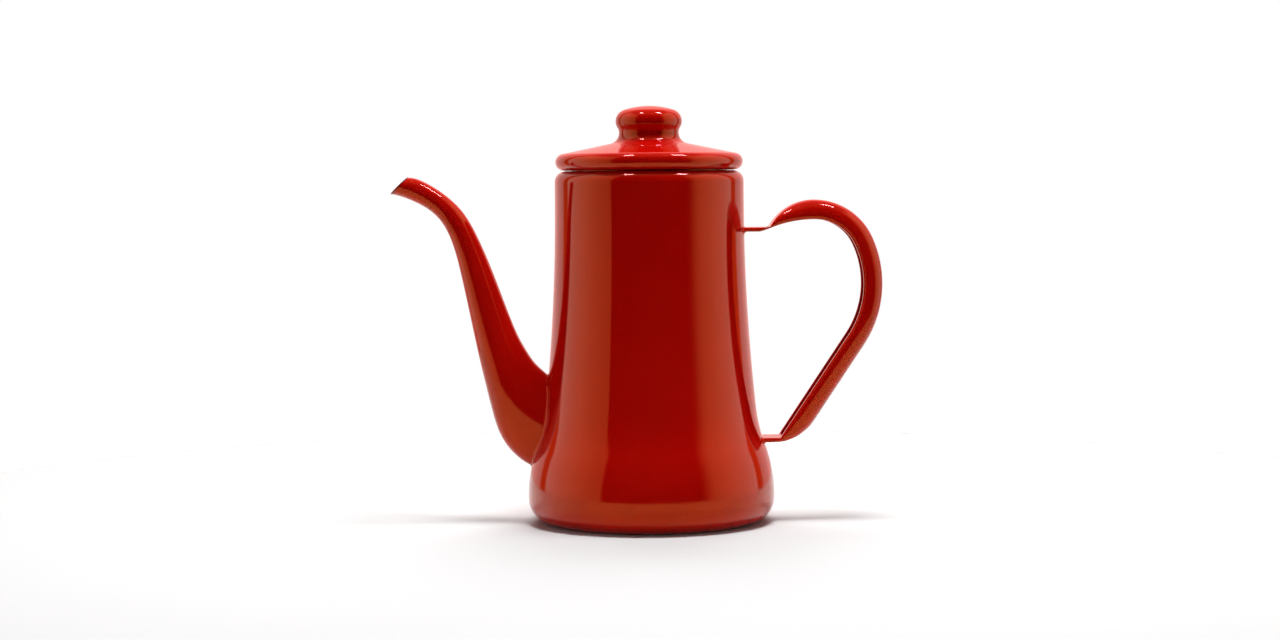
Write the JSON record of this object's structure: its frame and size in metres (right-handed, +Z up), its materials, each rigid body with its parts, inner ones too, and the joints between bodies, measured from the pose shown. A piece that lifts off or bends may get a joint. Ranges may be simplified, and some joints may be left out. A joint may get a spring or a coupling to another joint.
{
  "type": "coffee pot",
  "caption": "Tall enamelled steel coffee pot with a flared foot, gooseneck spout, pressed strap handle and a loose lid with a hollow knob.",
  "frame": {"origin": "middle of the flat base, on the surface the pot stands on", "axes": "+Z up along the axis of the drum, +X towards the handle, -X towards the spout, Y across"},
  "size_m": [0.2283, 0.115, 0.1936],
  "materials": {
    "red_enamel": "gloss"
  },
  "bodies": {
    "pot": {"body_shell": "red_enamel", "base_dish": "red_enamel", "spout_left_half": "red_enamel", "spout_right_half": "red_enamel", "handle_strap": "red_enamel"},
    "lid": {"lid_dome": "red_enamel", "lid_skirt": "red_enamel", "knob_shell": "red_enamel"}
  },
  "joints": [
    {"name": "lid_lift", "type": "slide", "parent": "pot", "child": "lid", "axis": [0, 0, 1], "range_m": [0, 0.08]}
  ]
}
